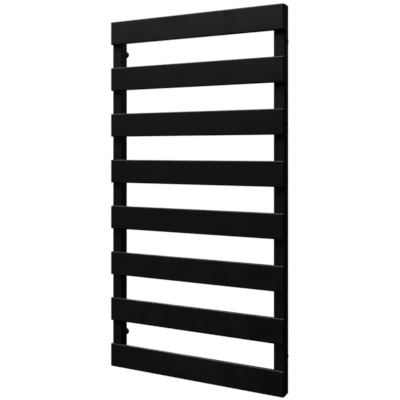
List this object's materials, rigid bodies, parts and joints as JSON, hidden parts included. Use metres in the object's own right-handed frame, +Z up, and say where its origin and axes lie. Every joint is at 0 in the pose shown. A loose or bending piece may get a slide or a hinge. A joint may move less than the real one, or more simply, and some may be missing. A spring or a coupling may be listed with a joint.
{
  "type": "towel warmer rack",
  "caption": "Wall-hung hot-water towel warmer: flat horizontal slats welded in front of two upright collectors, on four round wall brackets, in satin black.",
  "frame": {"origin": "centre of the four wall holes, on the plane of the wall", "axes": "+X to the right seen from the room, +Y into the wall, +Z up"},
  "size_m": [0.55, 0.065, 1.052],
  "materials": {
    "black_powder_coat": "satin black powder coat on welded steel",
    "zinc_plated_steel": "bright zinc plate",
    "bare_steel": "bare turned steel",
    "black_rubber": "moulded EPDM rubber",
    "white_ptfe": "white PTFE",
    "brass": "turned brass"
  },
  "bodies": {
    "wall_brackets": {"wall_cup_bottom_left": "black_powder_coat", "wall_cup_bottom_right": "black_powder_coat", "wall_cup_top_left": "black_powder_coat", "wall_cup_top_right": "black_powder_coat"},
    "radiator": {"slat_1": "black_powder_coat", "slat_2": "black_powder_coat", "slat_3": "black_powder_coat", "slat_4": "black_powder_coat", "slat_5": "black_powder_coat", "slat_6": "black_powder_coat", "slat_7": "black_powder_coat", "slat_8": "black_powder_coat", "slat_1_end_left": "black_powder_coat", "slat_1_end_right": "black_powder_coat", "slat_2_end_left": "black_powder_coat", "slat_2_end_right": "black_powder_coat", "slat_3_end_left": "black_powder_coat", "slat_3_end_right": "black_powder_coat", "slat_4_end_left": "black_powder_coat", "slat_4_end_right": "black_powder_coat", "slat_5_end_left": "black_powder_coat", "slat_5_end_right": "black_powder_coat", "slat_6_end_left": "black_powder_coat", "slat_6_end_right": "black_powder_coat", "slat_7_end_left": "black_powder_coat", "slat_7_end_right": "black_powder_coat", "slat_8_end_left": "black_powder_coat", "slat_8_end_right": "black_powder_coat", "collector_left": "black_powder_coat", "water_nipples_left": "bare_steel", "port_socket_bottom_left": "black_powder_coat", "bracket_pin_bottom_left": "black_powder_coat", "port_socket_top_left": "black_powder_coat", "bracket_pin_top_left": "black_powder_coat", "collector_right": "black_powder_coat", "water_nipples_right": "bare_steel", "port_socket_bottom_right": "black_powder_coat", "bracket_pin_bottom_right": "black_powder_coat", "port_socket_top_right": "black_powder_coat", "bracket_pin_top_right": "black_powder_coat", "vent_plug": "black_powder_coat", "vent_plug_seal": "black_rubber", "blank_plug": "black_powder_coat", "blank_plug_seal": "black_rubber", "bleed_washer": "white_ptfe"},
    "bleed_spindle": {"bleed_screw": "brass"},
    "grub_bottom_left": {"grub_screw_bottom_left": "zinc_plated_steel"},
    "grub_bottom_right": {"grub_screw_bottom_right": "zinc_plated_steel"},
    "grub_top_left": {"grub_screw_top_left": "zinc_plated_steel"},
    "grub_top_right": {"grub_screw_top_right": "zinc_plated_steel"}
  },
  "joints": [
    {"name": "wall_distance_slide", "type": "slide", "parent": "wall_brackets", "child": "radiator", "axis": [0, -1, 0], "range_m": [0, 0.006]},
    {"name": "bleed_screw_turn", "type": "hinge", "parent": "radiator", "child": "bleed_spindle", "pos_m": [0.259, -0.038, 0.523], "axis": [0, 0, 1], "range_deg": [0, 360]},
    {"name": "grub_screw_turn_bottom_left", "type": "hinge", "parent": "wall_brackets", "child": "grub_bottom_left", "pos_m": [-0.259, -0.017, -0.4419], "axis": [0, 0, -1], "range_deg": [0, 360]},
    {"name": "grub_screw_turn_bottom_right", "type": "hinge", "parent": "wall_brackets", "child": "grub_bottom_right", "pos_m": [0.259, -0.017, -0.4419], "axis": [0, 0, -1], "range_deg": [0, 360]},
    {"name": "grub_screw_turn_top_left", "type": "hinge", "parent": "wall_brackets", "child": "grub_top_left", "pos_m": [-0.259, -0.017, 0.4231], "axis": [0, 0, -1], "range_deg": [0, 360]},
    {"name": "grub_screw_turn_top_right", "type": "hinge", "parent": "wall_brackets", "child": "grub_top_right", "pos_m": [0.259, -0.017, 0.4231], "axis": [0, 0, -1], "range_deg": [0, 360]}
  ]
}
